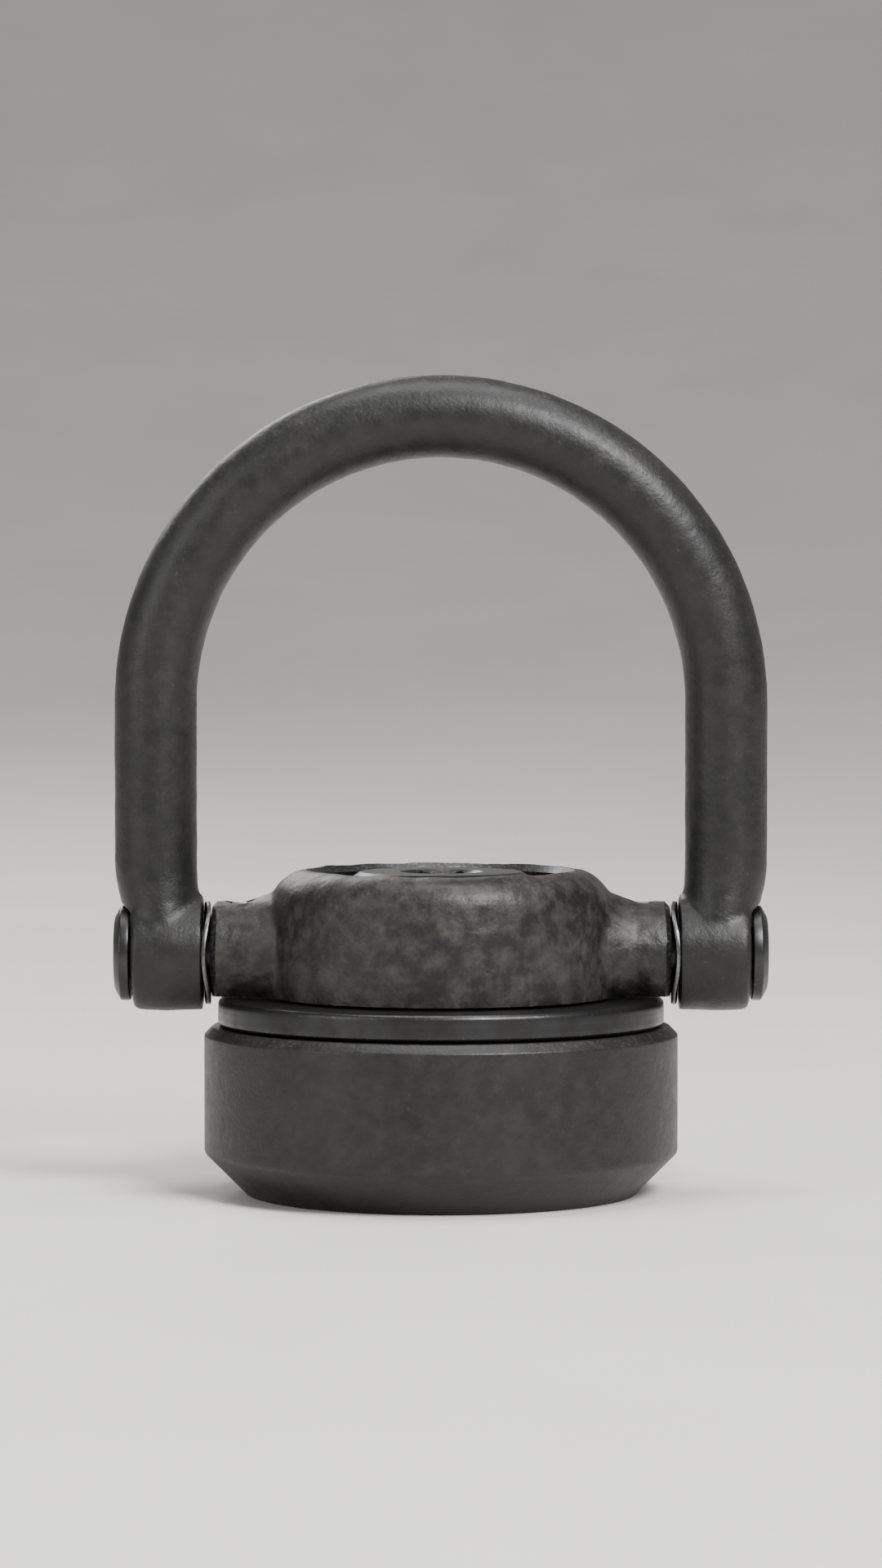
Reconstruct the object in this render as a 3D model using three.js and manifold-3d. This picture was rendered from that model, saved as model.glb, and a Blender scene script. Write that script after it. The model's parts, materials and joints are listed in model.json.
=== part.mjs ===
// Weld-on swivel hoist ring: a round-bar bail tilts on a body, and the body turns on a ball
// bearing round a bolt that holds it to a weld-on base. Millimetres, +Z up. The origin is the
// centre of the base's flat underside, and the bail's pivot axis runs along X.
import * as THREE from "three";
import { mergeVertices } from "three/addons/utils/BufferGeometryUtils.js";
import Module from "manifold-3d";

const wasm = await Module();
wasm.setup();

// ---- driving dimensions, millimetres ----

const BAR_D = 6; // round bar that the bail is bent from
const BAIL_INSIDE = 35; // clear width between the bail's legs
const BAIL_RISE = 18; // pivot axis up to the centre of the bail's arch
const BASE_D = 34;
const BASE_H = 12;
const FLANGE_D = 32;
const FLANGE_T = 2;
const HUB_D = 25;
const HUB_TOP = BASE_H + 11.3;
const HUB_ROUND = 3; // rounding of the hub's top edge
const PIVOT_Z = BASE_H + 5.2;
const EYE_D = 8.4; // the bail's eyes, on the pivot pins
const EYE_W = 5;
const ARM_D = 7.6; // the body's two arms, which carry the pivot pins
const PIN_D = 4;
const BOLT_D = 8;
const BOLT_LENGTH = 18; // under the head
const BALL_D = 2;
const BALL_COUNT = 12;
const BALL_PITCH_D = 14.6;

const SEAT = 0.05; // gap between faces that rest on each other
const LOOSE = 0.1; // gap round a part that is pressed or screwed in
const RUN = 0.15; // gap between faces that slide or turn

const ROUND = 48; // facets round a large part
const SMALL = 24; // facets round a small one
const FAR = 60; // longer than the object, for cutting tools

// ---- levels and radii that follow from them ----

const LEG_X = (BAIL_INSIDE + BAR_D) / 2;
const EYE_IN = BAIL_INSIDE / 2 - 0.4; // inner face of an eye
const EYE_OUT = EYE_IN + EYE_W;
const FRICTION_RING_T = 0.4;
const ARM_END = EYE_IN - FRICTION_RING_T - 2 * RUN;
const PIN_HEAD_R = 3.4;
const PIN_HEAD_T = 1.2;
const PIN_INNER_END = 10.3;
const ROLL_PIN_R = 0.75;
const ROLL_PIN_X = 14.4;

const BODY_Z = BASE_H + FLANGE_T + RUN + SEAT; // underside of the turning body
const LEDGE_Z = BASE_H + 4.4; // ledge in the hub that the lower race sits on
const RACE_T = 0.7;
const RACE_TO_BALL = 0.85; // from a race's flat face to the balls' centres
const LOWER_RACE_Z = LEDGE_Z + SEAT;
const BALL_Z = LOWER_RACE_Z + RACE_T + RACE_TO_BALL;
const UPPER_RACE_Z = BALL_Z + RACE_TO_BALL;
const WASHER_Z = UPPER_RACE_Z + RACE_T + SEAT;
const WASHER_T = 1;
const HEAD_Z = WASHER_Z + WASHER_T + SEAT; // underside of the bolt's head
const HEAD_T = 2.4;
const HEAD_R = 6.5;
const BARREL_R = 5.3;
const BUSH_R = 6.4;
const BORE_R = 9.2; // the hub's bore above the ledge
const RACE_R = BORE_R - RUN;
const SEAL_IN = 9.2;
const SEAL_OUT = 11.2;
const SEAL_T = 0.75;

// ---- geometry helpers ----

// Points on an arc in a profile, from one angle to another, in degrees.
function arc(centreR, centreZ, radius, from, to, steps = 6) {
  return Array.from({ length: steps + 1 }, (_, i) => {
    const a = THREE.MathUtils.degToRad(from + ((to - from) * i) / steps);
    return [centreR + radius * Math.cos(a), centreZ + radius * Math.sin(a)];
  });
}

// A profile of [radius, z] points, turned round the Z axis.
function turned(profile, segments = ROUND) {
  const points = profile.map(([r, z]) => new THREE.Vector2(r, z));
  return new THREE.LatheGeometry(points, segments).rotateX(Math.PI / 2);
}

// A plain ring or tube between two radii and two levels, with its outer edges broken.
function ring(innerR, outerR, low, high, segments = ROUND, edge = 0) {
  return turned(
    [
      [innerR, low],
      [outerR - edge, low],
      ...(edge ? [[outerR, low + edge], [outerR, high - edge]] : []),
      [outerR - edge, high],
      [innerR, high],
      [innerR, low],
    ],
    segments,
  );
}

// A solid rod from one level to another, round the Z axis.
function rod(radius, low, high, segments = SMALL) {
  return turned([[0, low], [radius, low], [radius, high], [0, high]], segments);
}

// Lays a shape that was made round the Z axis along +X or -X, at the pivot axis.
function alongPivot(geometry, side = 1) {
  return geometry.rotateY((side * Math.PI) / 2).translate(0, 0, PIVOT_Z);
}

function solid(geometry) {
  const bare = geometry.clone();
  bare.deleteAttribute("normal");
  bare.deleteAttribute("uv");
  const merged = mergeVertices(bare, 1e-3);
  return new wasm.Manifold(
    new wasm.Mesh({
      numProp: 3,
      vertProperties: merged.attributes.position.array,
      triVerts: merged.index.array,
    }),
  );
}

function geometryOf(made) {
  const { vertProperties, triVerts } = made.getMesh();
  return new THREE.BufferGeometry()
    .setAttribute("position", new THREE.BufferAttribute(vertProperties, 3))
    .setIndex(new THREE.BufferAttribute(triVerts, 1));
}

function cut(made, ...tools) {
  return tools.reduce((left, tool) => left.subtract(solid(tool)), made);
}

// ---- materials ----

function finish(color, metalness, roughness) {
  return new THREE.MeshStandardMaterial({ color, metalness, roughness });
}

const BLACK_COAT = finish(0x232323, 0.1, 0.55);
const BLACK_OXIDE = finish(0x1b1b1d, 0.9, 0.4);
const BRIGHT_STEEL = finish(0xa6a8aa, 1, 0.25);
const SPRING_STEEL = finish(0x6e6f72, 1, 0.35);
const BRONZE = finish(0x9c6b3a, 1, 0.4);
const RUBBER = finish(0x141414, 0, 0.8);

// ---- the fixed parts ----

// Round boss with a bevelled foot for the weld and a blind tapped hole for the bolt.
function weldBase() {
  const r = BASE_D / 2;
  const bevel = 3;
  const edge = 0.6;
  const hole = BOLT_D / 2 + LOOSE;
  const holeFloor = HEAD_Z - BOLT_LENGTH - 0.9;
  return turned([
    [0, 0],
    [r - bevel, 0],
    [r, bevel],
    [r, BASE_H - edge],
    [r - edge, BASE_H],
    [hole, BASE_H],
    [hole, holeFloor],
    [0, holeFloor - 0.8],
  ]);
}

// Flanged bushing: the bolt clamps it to the base, and the body turns on its barrel.
function flangedBushing() {
  const low = BASE_H + SEAT;
  const top = WASHER_Z - SEAT;
  const bore = BOLT_D / 2 + 2 * LOOSE;
  const rim = 0.4;
  return turned([
    [bore, low],
    [FLANGE_D / 2 - rim, low],
    [FLANGE_D / 2, low + rim],
    [FLANGE_D / 2, BASE_H + FLANGE_T - rim],
    [FLANGE_D / 2 - rim, BASE_H + FLANGE_T],
    [BARREL_R, BASE_H + FLANGE_T],
    [BARREL_R, top],
    [bore, top],
    [bore, low],
  ]);
}

// Low-head socket screw, with the shank plain at the thread's outside diameter.
function mountingBolt() {
  const shank = BOLT_D / 2 - SEAT;
  const tip = HEAD_Z - BOLT_LENGTH;
  const top = HEAD_Z + HEAD_T;
  const blank = turned([
    [0, tip],
    [shank - 0.8, tip],
    [shank, tip + 0.8],
    [shank, HEAD_Z],
    [HEAD_R - 0.3, HEAD_Z],
    [HEAD_R, HEAD_Z + 0.3],
    ...arc(HEAD_R - 0.9, top - 0.9, 0.9, 0, 90, 4),
    [0, top],
  ]);
  const acrossFlats = 5;
  const socketDepth = 2.7;
  const socket = new THREE.CylinderGeometry(
    acrossFlats / Math.sqrt(3),
    acrossFlats / Math.sqrt(3),
    2 * socketDepth,
    6,
  )
    .rotateX(Math.PI / 2)
    .translate(0, 0, top);
  return geometryOf(cut(solid(blank), socket));
}

// Washer under the bolt's head: it holds the bearing down and covers it.
function coverWasher() {
  return ring(BOLT_D / 2 + 2 * LOOSE, BORE_R - 0.35, WASHER_Z, WASHER_Z + WASHER_T, ROUND, 0.2);
}

// Profile of a bearing race: a flat ring with a round groove that the balls run in.
function race(low, innerR, outerR, grooveUp) {
  const high = low + RACE_T;
  const grooveR = BALL_D / 2 + LOOSE;
  const face = grooveUp ? high : low;
  const half = Math.sqrt(grooveR ** 2 - (BALL_Z - face) ** 2);
  const lean = THREE.MathUtils.radToDeg(Math.asin(half / grooveR));
  const pitch = BALL_PITCH_D / 2;
  const groove = grooveUp
    ? arc(pitch, BALL_Z, grooveR, lean - 90, -lean - 90, 4)
    : arc(pitch, BALL_Z, grooveR, 90 + lean, 90 - lean, 4);
  const corners = grooveUp
    ? [[innerR, low], [outerR, low], [outerR, high], ...groove, [innerR, high]]
    : [[innerR, low], ...groove, [outerR, low], [outerR, high], [innerR, high]];
  return turned([...corners, corners[0]]);
}

// ---- the ball bearing's moving set ----

function ballPlace(index) {
  const a = (2 * Math.PI * index) / BALL_COUNT;
  const r = BALL_PITCH_D / 2;
  return new THREE.Vector3(r * Math.cos(a), r * Math.sin(a), BALL_Z);
}

function ballCage() {
  const half = 0.5;
  const innerR = BARREL_R + 2 * RUN;
  const outerR = BORE_R - 2 * RUN;
  const blank = ring(innerR, outerR, BALL_Z - half, BALL_Z + half);
  const pockets = Array.from({ length: BALL_COUNT }, (_, i) => {
    const { x, y } = ballPlace(i);
    return rod(BALL_D / 2 + LOOSE, BALL_Z - 1, BALL_Z + 1, 16).translate(x, y, 0);
  });
  return geometryOf(cut(solid(blank), ...pockets));
}

// ---- the turning body ----

function bodyForging() {
  const r = HUB_D / 2;
  const hub = turned([
    [0, BODY_Z],
    [r, BODY_Z],
    ...arc(r - HUB_ROUND, HUB_TOP - HUB_ROUND, HUB_ROUND, 0, 90),
    [0, HUB_TOP],
  ]);
  const arms = alongPivot(rod(ARM_D / 2, -ARM_END, ARM_END, 32));
  const below = new THREE.BoxGeometry(FAR, FAR, BODY_Z).translate(0, 0, BODY_Z / 2);
  const bushBore = rod(BUSH_R + LOOSE, 0, FAR, ROUND);
  const bearingBore = rod(BORE_R, LEDGE_Z, FAR, ROUND);
  const sealGroove = ring(
    SEAL_IN - LOOSE,
    SEAL_OUT + LOOSE,
    0,
    BODY_Z - RUN + SEAL_T + LOOSE,
  );
  const perSide = [1, -1].flatMap((side) => [
    alongPivot(rod(PIN_D / 2 + LOOSE, PIN_INNER_END - 0.3, FAR), side),
    rod(ROLL_PIN_R + LOOSE, 0, FAR, 12).translate(side * ROLL_PIN_X, 0, 0),
  ]);
  const blank = solid(hub).add(solid(arms));
  return geometryOf(
    cut(blank, below, bushBore, bearingBore, sealGroove, ...perSide),
  );
}

function swivelBush() {
  return ring(BARREL_R + RUN, BUSH_R, BODY_Z + LOOSE, LEDGE_Z - LOOSE);
}

function greaseSeal() {
  const low = BODY_Z - LOOSE;
  return ring(SEAL_IN, SEAL_OUT, low, low + SEAL_T);
}

// Headed pin through an eye into an arm, with a cross hole for its roll pin.
function pivotPin(side) {
  const r = PIN_D / 2;
  const head = EYE_OUT + RUN;
  const end = head + PIN_HEAD_T;
  const blank = turned(
    [
      [0, PIN_INNER_END],
      [r - 0.3, PIN_INNER_END],
      [r, PIN_INNER_END + 0.3],
      [r, head],
      [PIN_HEAD_R, head],
      ...arc(PIN_HEAD_R - 0.6, end - 0.6, 0.6, 0, 90, 3),
      [0, end],
    ],
    SMALL,
  );
  const crossHole = rod(ROLL_PIN_R + LOOSE, 0, FAR, 12).translate(
    side * ROLL_PIN_X,
    0,
    0,
  );
  return geometryOf(cut(solid(alongPivot(blank, side)), crossHole));
}

// Slotted spring pin, pressed down through the arm and across the pivot pin.
function rollPin(side) {
  const wall = 0.3;
  const slot = 0.35; // half of the slot's angle, in radians
  const section = new THREE.Shape();
  section.absarc(0, 0, ROLL_PIN_R, slot, 2 * Math.PI - slot, false);
  section.absarc(0, 0, ROLL_PIN_R - wall, 2 * Math.PI - slot, slot, true);
  section.closePath();
  const low = BODY_Z + 2 * RUN;
  const high = PIVOT_Z + ARM_D / 2 - 2 * LOOSE;
  return new THREE.ExtrudeGeometry(section, {
    depth: high - low,
    bevelEnabled: false,
    curveSegments: 12,
  }).translate(side * ROLL_PIN_X, 0, low);
}

// Friction ring between an arm and an eye, which keeps the bail where it is put.
function frictionRing(side) {
  const low = ARM_END + RUN;
  const flat = ring(PIN_D / 2 + RUN, ARM_D / 2 - 0.1, low, low + FRICTION_RING_T, SMALL);
  return alongPivot(flat, side);
}

// ---- the bail ----

// The bar's centre line: up one leg, over the arch and down the other.
class BailLine extends THREE.Curve {
  getPoint(t, target = new THREE.Vector3()) {
    const straight = BAIL_RISE;
    const half = straight + (Math.PI * LEG_X) / 2;
    const fromMiddle = (t - 0.5) * 2 * half;
    const side = Math.sign(fromMiddle) || 1;
    const along = Math.abs(fromMiddle);
    const bend = Math.min(along / LEG_X, Math.PI / 2);
    const drop = Math.max(along - (Math.PI * LEG_X) / 2, 0);
    const z = PIVOT_Z + BAIL_RISE + LEG_X * Math.cos(bend) - drop;
    return target.set(side * LEG_X * Math.sin(bend), 0, z);
  }
}

function bail() {
  const section = new THREE.Shape();
  section.absarc(0, 0, BAR_D / 2, 0, 2 * Math.PI, false);
  const bar = new THREE.ExtrudeGeometry(section, {
    extrudePath: new BailLine(),
    steps: 36,
    curveSegments: 9,
    bevelEnabled: false,
  });
  const sides = [1, -1];
  const eyes = sides.map((side) =>
    alongPivot(rod(EYE_D / 2, EYE_IN, EYE_OUT, 32), side),
  );
  const tools = sides.flatMap((side) => [
    alongPivot(rod(PIN_D / 2 + LOOSE, 0, FAR), side),
    alongPivot(rod(PIN_HEAD_R + 2 * RUN, EYE_OUT, FAR), side),
  ]);
  const blank = eyes.reduce((made, eye) => made.add(solid(eye)), solid(bar));
  return geometryOf(cut(blank, ...tools));
}

// ---- assembly ----

const hoistRing = new THREE.Group();

function place(name, geometry, material, parent) {
  const mesh = new THREE.Mesh(geometry, material);
  mesh.name = name;
  parent.add(mesh);
  return mesh;
}

const fixed = new THREE.Group();
place("weld_base", weldBase(), BLACK_COAT, fixed);
place("flanged_bushing", flangedBushing(), BLACK_OXIDE, fixed);
place("mounting_bolt", mountingBolt(), BLACK_OXIDE, fixed);
place("cover_washer", coverWasher(), BLACK_OXIDE, fixed);
place(
  "upper_race",
  race(UPPER_RACE_Z, BARREL_R + RUN, RACE_R - LOOSE, false),
  BRIGHT_STEEL,
  fixed,
);

const ballSet = new THREE.Group();
place("ball_cage", ballCage(), BRONZE, ballSet);
for (let i = 0; i < BALL_COUNT; i += 1) {
  const name = "ball_" + String(i + 1).padStart(2, "0");
  const ball = place(
    name,
    new THREE.SphereGeometry(BALL_D / 2, 12, 9),
    BRIGHT_STEEL,
    ballSet,
  );
  ball.position.copy(ballPlace(i));
}

const turning = new THREE.Group();
place("swivel_body", bodyForging(), BLACK_COAT, turning);
place(
  "lower_race",
  race(LOWER_RACE_Z, BARREL_R + 2 * RUN, RACE_R, true),
  BRIGHT_STEEL,
  turning,
);
place("swivel_bush", swivelBush(), BRONZE, turning);
place("grease_seal", greaseSeal(), RUBBER, turning);
for (const [word, side] of [["right", 1], ["left", -1]]) {
  place("pivot_pin_" + word, pivotPin(side), BLACK_OXIDE, turning);
  place("roll_pin_" + word, rollPin(side), SPRING_STEEL, turning);
  place("friction_ring_" + word, frictionRing(side), SPRING_STEEL, turning);
}

const tilting = new THREE.Group();
place("bail", bail(), BLACK_COAT, tilting);

turning.add(tilting);
hoistRing.add(fixed, ballSet, turning);

export default hoistRing;
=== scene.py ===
"""Visual model of a weld-on swivel hoist ring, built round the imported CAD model.

Every piece is made in the CAD frame: +Z is the swivel axis, X the bail's pivot axis. Shapes are
worked out in millimetres from the CAD nodes' boxes and turned into metres as they are made.
"""

import json
import math

import bmesh
import bpy
import numpy as np
from mathutils import Matrix, Vector, noise


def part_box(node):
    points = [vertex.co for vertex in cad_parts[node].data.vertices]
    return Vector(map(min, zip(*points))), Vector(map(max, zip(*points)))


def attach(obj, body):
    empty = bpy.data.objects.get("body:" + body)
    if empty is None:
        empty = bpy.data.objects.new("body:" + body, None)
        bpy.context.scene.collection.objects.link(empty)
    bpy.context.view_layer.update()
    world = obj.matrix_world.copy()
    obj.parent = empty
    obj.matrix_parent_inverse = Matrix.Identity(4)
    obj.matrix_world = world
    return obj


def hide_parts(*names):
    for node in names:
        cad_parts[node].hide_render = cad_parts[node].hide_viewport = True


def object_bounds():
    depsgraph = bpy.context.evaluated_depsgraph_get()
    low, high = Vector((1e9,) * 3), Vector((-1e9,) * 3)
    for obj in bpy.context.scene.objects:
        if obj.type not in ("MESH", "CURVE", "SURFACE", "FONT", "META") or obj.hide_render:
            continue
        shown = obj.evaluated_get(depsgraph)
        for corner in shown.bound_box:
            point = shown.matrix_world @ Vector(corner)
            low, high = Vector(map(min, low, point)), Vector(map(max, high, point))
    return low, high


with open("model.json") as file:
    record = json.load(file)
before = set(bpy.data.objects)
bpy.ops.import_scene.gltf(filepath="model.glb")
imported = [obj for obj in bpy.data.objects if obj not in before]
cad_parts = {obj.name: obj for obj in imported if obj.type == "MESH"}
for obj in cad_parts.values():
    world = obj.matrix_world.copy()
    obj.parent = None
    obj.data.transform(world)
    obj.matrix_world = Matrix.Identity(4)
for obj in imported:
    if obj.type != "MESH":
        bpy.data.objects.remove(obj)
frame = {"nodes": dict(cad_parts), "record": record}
cad_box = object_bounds()

MM = 0.001
FINE = 128  # facets round a large turned part
SMALL_TURNED = 96  # round a pin or a friction ring
MEDIUM = 64  # round an arm, an eye or a cutting tool
SMALL = 32  # round a small hole

# ---- sizes the CAD boxes don't give, in millimetres ----

BAR_R = 3.0  # the bail's round bar
NECK_HEIGHT = 6.5  # the bar flattens into its eye over this height
EYE_IN = 17.1  # from the middle to the inner face of a bail's eye
EYE_OUT = 22.1
EYE_HALF_DEPTH = 3.75  # of the bar where it meets the eye
SPOTFACE_R = 3.7  # recess in the bail round a pivot pin's head
PIN_R = 2.0
PIN_HOLE_R = 2.1
ROLL_HOLE_R = 0.85
ROLL_PIN_WALL = 0.3
WAVE_WASHER_T = 0.3
FOOT_BEVEL = 3.0  # the weld goes round this bevel
FLANGE_TOP = 14.0
ARM_ROOT = 8.0  # the forged arms start this far out, inside the hub
ARM_BLANK_END = 18.0  # and end here, before they are faced
BARREL_R = 5.3  # the bushing's barrel, which the body turns on
BODY_LEDGE = 16.4  # the lower race sits on this ledge in the body
BORE_R = 9.2  # the body's bore above the ledge
BUSH_HOLE_R = 6.5
BUSH_BORE_R = 5.45
SEAL_BORE_R = 9.2
SEAL_GROOVE_R = 11.3
UPPER_RACE_BORE_R = 5.45
LOWER_RACE_BORE_R = 5.6
RACE_GROOVE_R = 1.1
CAGE_BORE_R = 5.6
CAGE_POCKET_R = 1.1
SCREW_R = 3.95
SCREW_HOLE_R = 4.2  # in the bushing and the cover washer
SCREW_CHAMFER = 0.8
THREAD_PITCH = 1.25
THREAD_DEPTH = 0.6
THREAD_SLOPE = 2.5  # of the flanks, in thread depths per turn
THREAD_FLAT = 0.06  # taken off the flanks to leave a flat crest
THREAD_STEP = THREAD_PITCH / 10
THREAD_RUN_OUT = 0.8  # the thread fades in and out over this height
HEX_FLATS = 5.0
HEX_CORNER_R = HEX_FLATS / math.sqrt(3)
HEX_DEPTH = 2.7
KNURL_COUNT = 64
KNURL_DEPTH = 0.12
VOXEL = 0.2  # fineness of the forgings' skins
SCALE_DEPTH = 0.25  # the most that forging scale sinks a skin
SLIVER = 0.002  # points closer than this are one point


def box_mm(node):
    """A CAD node's lowest and highest corners in millimetres."""
    low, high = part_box(node)
    return low / MM, high / MM


base_high = box_mm("weld_base")[1]
bushing_low, bushing_high = box_mm("flanged_bushing")
screw_low, screw_high = box_mm("mounting_bolt")
washer_low, washer_high = box_mm("cover_washer")
body_low, body_high = box_mm("swivel_body")
pin_low, pin_high = box_mm("pivot_pin_right")
roll_low, roll_high = box_mm("roll_pin_right")
friction_high = box_mm("friction_ring_right")[1]
bail_high = box_mm("bail")[1]

BASE_R = base_high.x
HEAD_R = screw_high.x
HEAD_UNDER = washer_high.z + 0.05  # a press gap above the washer
PIVOT_Z = (pin_low.z + pin_high.z) / 2
PIN_HEAD_R = pin_high.y
EYE_R = bail_high.y
LEG_X = bail_high.x - BAR_R
ARCH_Z = bail_high.z - bail_high.x
ROLL_X = (roll_low.x + roll_high.x) / 2
HUB_R = body_high.y
ARM_END = body_high.x

BODY_OF = {
    node: body
    for body, nodes in frame["record"]["behaviour"]["bodies"].items()
    for node in nodes
}


# ---- mesh helpers ----


def new_object(name, mesh):
    """Puts a mesh in the scene."""
    made = bpy.data.objects.new(name, mesh)
    bpy.context.scene.collection.objects.link(made)
    return made


def mesh_from(name, vertices, faces):
    """A closed mesh from vertices in millimetres, with its faces turned outward."""
    mesh = bpy.data.meshes.new(name)
    mesh.from_pydata([Vector(v) * MM for v in vertices], [], faces)
    edit = bmesh.new()
    edit.from_mesh(mesh)
    bmesh.ops.recalc_face_normals(edit, faces=edit.faces)
    edit.to_mesh(mesh)
    edit.free()
    return new_object(name, mesh)


def rounded(corners, steps=5, guard=0.25):
    """A profile of (radius, z) points from (radius, z, rounding) corners.

    A rounded corner becomes an arc, with a guard point a little before and after it, so that
    shading and edge wear stay close to the edge. A short side has no room for guard points.
    """
    closed = corners[0][:2] == corners[-1][:2]
    ring = corners[:-1] if closed else corners
    count = len(ring)
    points = []
    for i, (radius, z, rounding) in enumerate(ring):
        here = Vector((radius, z))
        at_end = not closed and i in (0, count - 1)
        if at_end or rounding == 0:
            points.append(here)
            continue
        to_last = Vector(ring[i - 1][:2]) - here
        to_next = Vector(ring[(i + 1) % count][:2]) - here
        half = to_last.angle(to_next) / 2
        reach = rounding / math.tan(half)
        u, v = to_last.normalized(), to_next.normalized()
        inset = reach + guard
        room = 2.5 * inset
        if to_last.length > room:
            points.append(here + u * inset)
        centre = here + (u + v).normalized() * rounding / math.sin(half)
        start = (here + u * reach - centre).normalized()
        end = (here + v * reach - centre).normalized()
        for step in range(steps + 1):
            points.append(centre + start.slerp(end, step / steps) * rounding)
        if to_next.length > room:
            points.append(here + v * inset)
    if closed:
        points.append(points[0].copy())
    return points


def ring_profile(inner, outer, low, high, inner_edge, outer_edge, steps=5):
    """The closed profile of a plain ring with rounded edges."""
    corners = [
        (inner, low, inner_edge),
        (outer, low, outer_edge),
        (outer, high, outer_edge),
        (inner, high, inner_edge),
        (inner, low, inner_edge),
    ]
    return rounded(corners, steps)


def turned(name, profile, segments=FINE, shape=None):
    """A solid turned round the Z axis from (radius, z) points.

    The profile starts and ends on the axis, or closes on itself. shape(radius, z, angle) may
    give another radius, for threads and knurls.
    """
    closed = (profile[0] - profile[-1]).length < 1e-6
    rows = profile[:-1] if closed else profile
    vertices, loops = [], []
    for radius, z in rows:
        if radius < 1e-6:
            loops.append([len(vertices)] * segments)
            vertices.append((0, 0, z))
            continue
        loops.append(list(range(len(vertices), len(vertices) + segments)))
        for k in range(segments):
            angle = 2 * math.pi * k / segments
            r = shape(radius, z, angle) if shape else radius
            vertices.append((r * math.cos(angle), r * math.sin(angle), z))
    pairs = list(zip(loops, loops[1:] + loops[:1])) if closed else list(zip(loops, loops[1:]))
    faces = []
    for lower, upper in pairs:
        for k in range(segments):
            n = (k + 1) % segments
            corner = [lower[k], lower[n], upper[n], upper[k]]
            face = list(dict.fromkeys(corner))
            if len(face) > 2:
                faces.append(face)
    return mesh_from(name, vertices, faces)


def move(made, matrix):
    """Moves a new object's mesh, leaving the object at the origin."""
    made.data.transform(matrix)
    return made


def shift(x=0.0, y=0.0, z=0.0):
    """A move by so many millimetres."""
    return Matrix.Translation(Vector((x, y, z)) * MM)


def along_pivot(side):
    """Turns what was made round +Z to lie along +X or -X, on the bail's pivot axis."""
    return shift(z=PIVOT_Z) @ Matrix.Rotation(side * math.pi / 2, 4, "Y")


def cutter(name, points, place, segments=MEDIUM):
    """A turned tool or blank from (radius, z) pairs, moved into place."""
    return move(turned(name, [Vector(p) for p in points], segments), place)


def plain_cut(radius, low, high):
    """The (radius, z) points of a plain round tool."""
    return ((0, low), (radius, low), (radius, high), (0, high))


def bake(made):
    """Applies the object's modifiers to its mesh."""
    bpy.context.view_layer.update()
    graph = bpy.context.evaluated_depsgraph_get()
    mesh = bpy.data.meshes.new_from_object(made.evaluated_get(graph))
    made.modifiers.clear()
    old = made.data
    made.data = mesh
    bpy.data.meshes.remove(old)
    return made


def discard(*objects):
    """Removes objects that were only needed to make others."""
    for made in objects:
        mesh = made.data
        bpy.data.objects.remove(made)
        bpy.data.meshes.remove(mesh)


def fused(name, parts, passes):
    """Joins overlapping shapes into one skin with soft inside corners, like a forging."""
    edit = bmesh.new()
    for part in parts:
        edit.from_mesh(part.data)
    mesh = bpy.data.meshes.new(name)
    edit.to_mesh(mesh)
    edit.free()
    discard(*parts)
    made = new_object(name, mesh)
    remesh = made.modifiers.new("skin", "REMESH")
    remesh.mode = "VOXEL"
    remesh.voxel_size = VOXEL * MM
    soften = made.modifiers.new("soften", "SMOOTH")
    soften.factor = 0.5
    soften.iterations = passes
    return bake(made)


def point_values(mesh, name):
    """The vertices' places or normals as rows of three numbers."""
    values = np.zeros(len(mesh.vertices) * 3)
    mesh.vertices.foreach_get(name, values)
    return values.reshape(-1, 3)


def roughen(made, grains):
    """Sinks a skin unevenly, by (depth, size) grains in millimetres, as forging scale leaves it."""
    places = point_values(made.data, "co")
    normals = point_values(made.data, "normal")
    depths = np.zeros(len(places))
    for deep, size in grains:
        scaled = places / (size * MM)
        depths += [deep * (0.5 + 0.5 * noise.noise(Vector(point))) for point in scaled]
    places -= normals * np.clip(depths, 0, SCALE_DEPTH)[:, None] * MM
    made.data.vertices.foreach_set("co", places.ravel())
    made.data.update()
    return made


def merge_slivers(made):
    """Merges points that a cut leaves almost on top of each other.

    A point left with only two edges goes too. It says nothing about the shape, and two faces
    that share it could both be split into the same sliver.
    """
    edit = bmesh.new()
    edit.from_mesh(made.data)
    bmesh.ops.remove_doubles(edit, verts=edit.verts, dist=SLIVER * MM)
    spare = [vert for vert in edit.verts if len(vert.link_edges) == 2]
    bmesh.ops.dissolve_verts(edit, verts=spare)
    edit.to_mesh(made.data)
    edit.free()


def carve(made, tools, surface):
    """Cuts the tools out of an object; the cut faces take the given material."""
    if not made.data.materials:
        made.data.materials.append(surface)
    for tool in tools:
        tool.data.materials.append(surface)
        cut = made.modifiers.new("cut", "BOOLEAN")
        cut.operation = "DIFFERENCE"
        cut.solver = "MANIFOLD"
        cut.material_mode = "TRANSFER"
        cut.object = tool
    bake(made)
    discard(*tools)
    merge_slivers(made)
    return made


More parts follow.
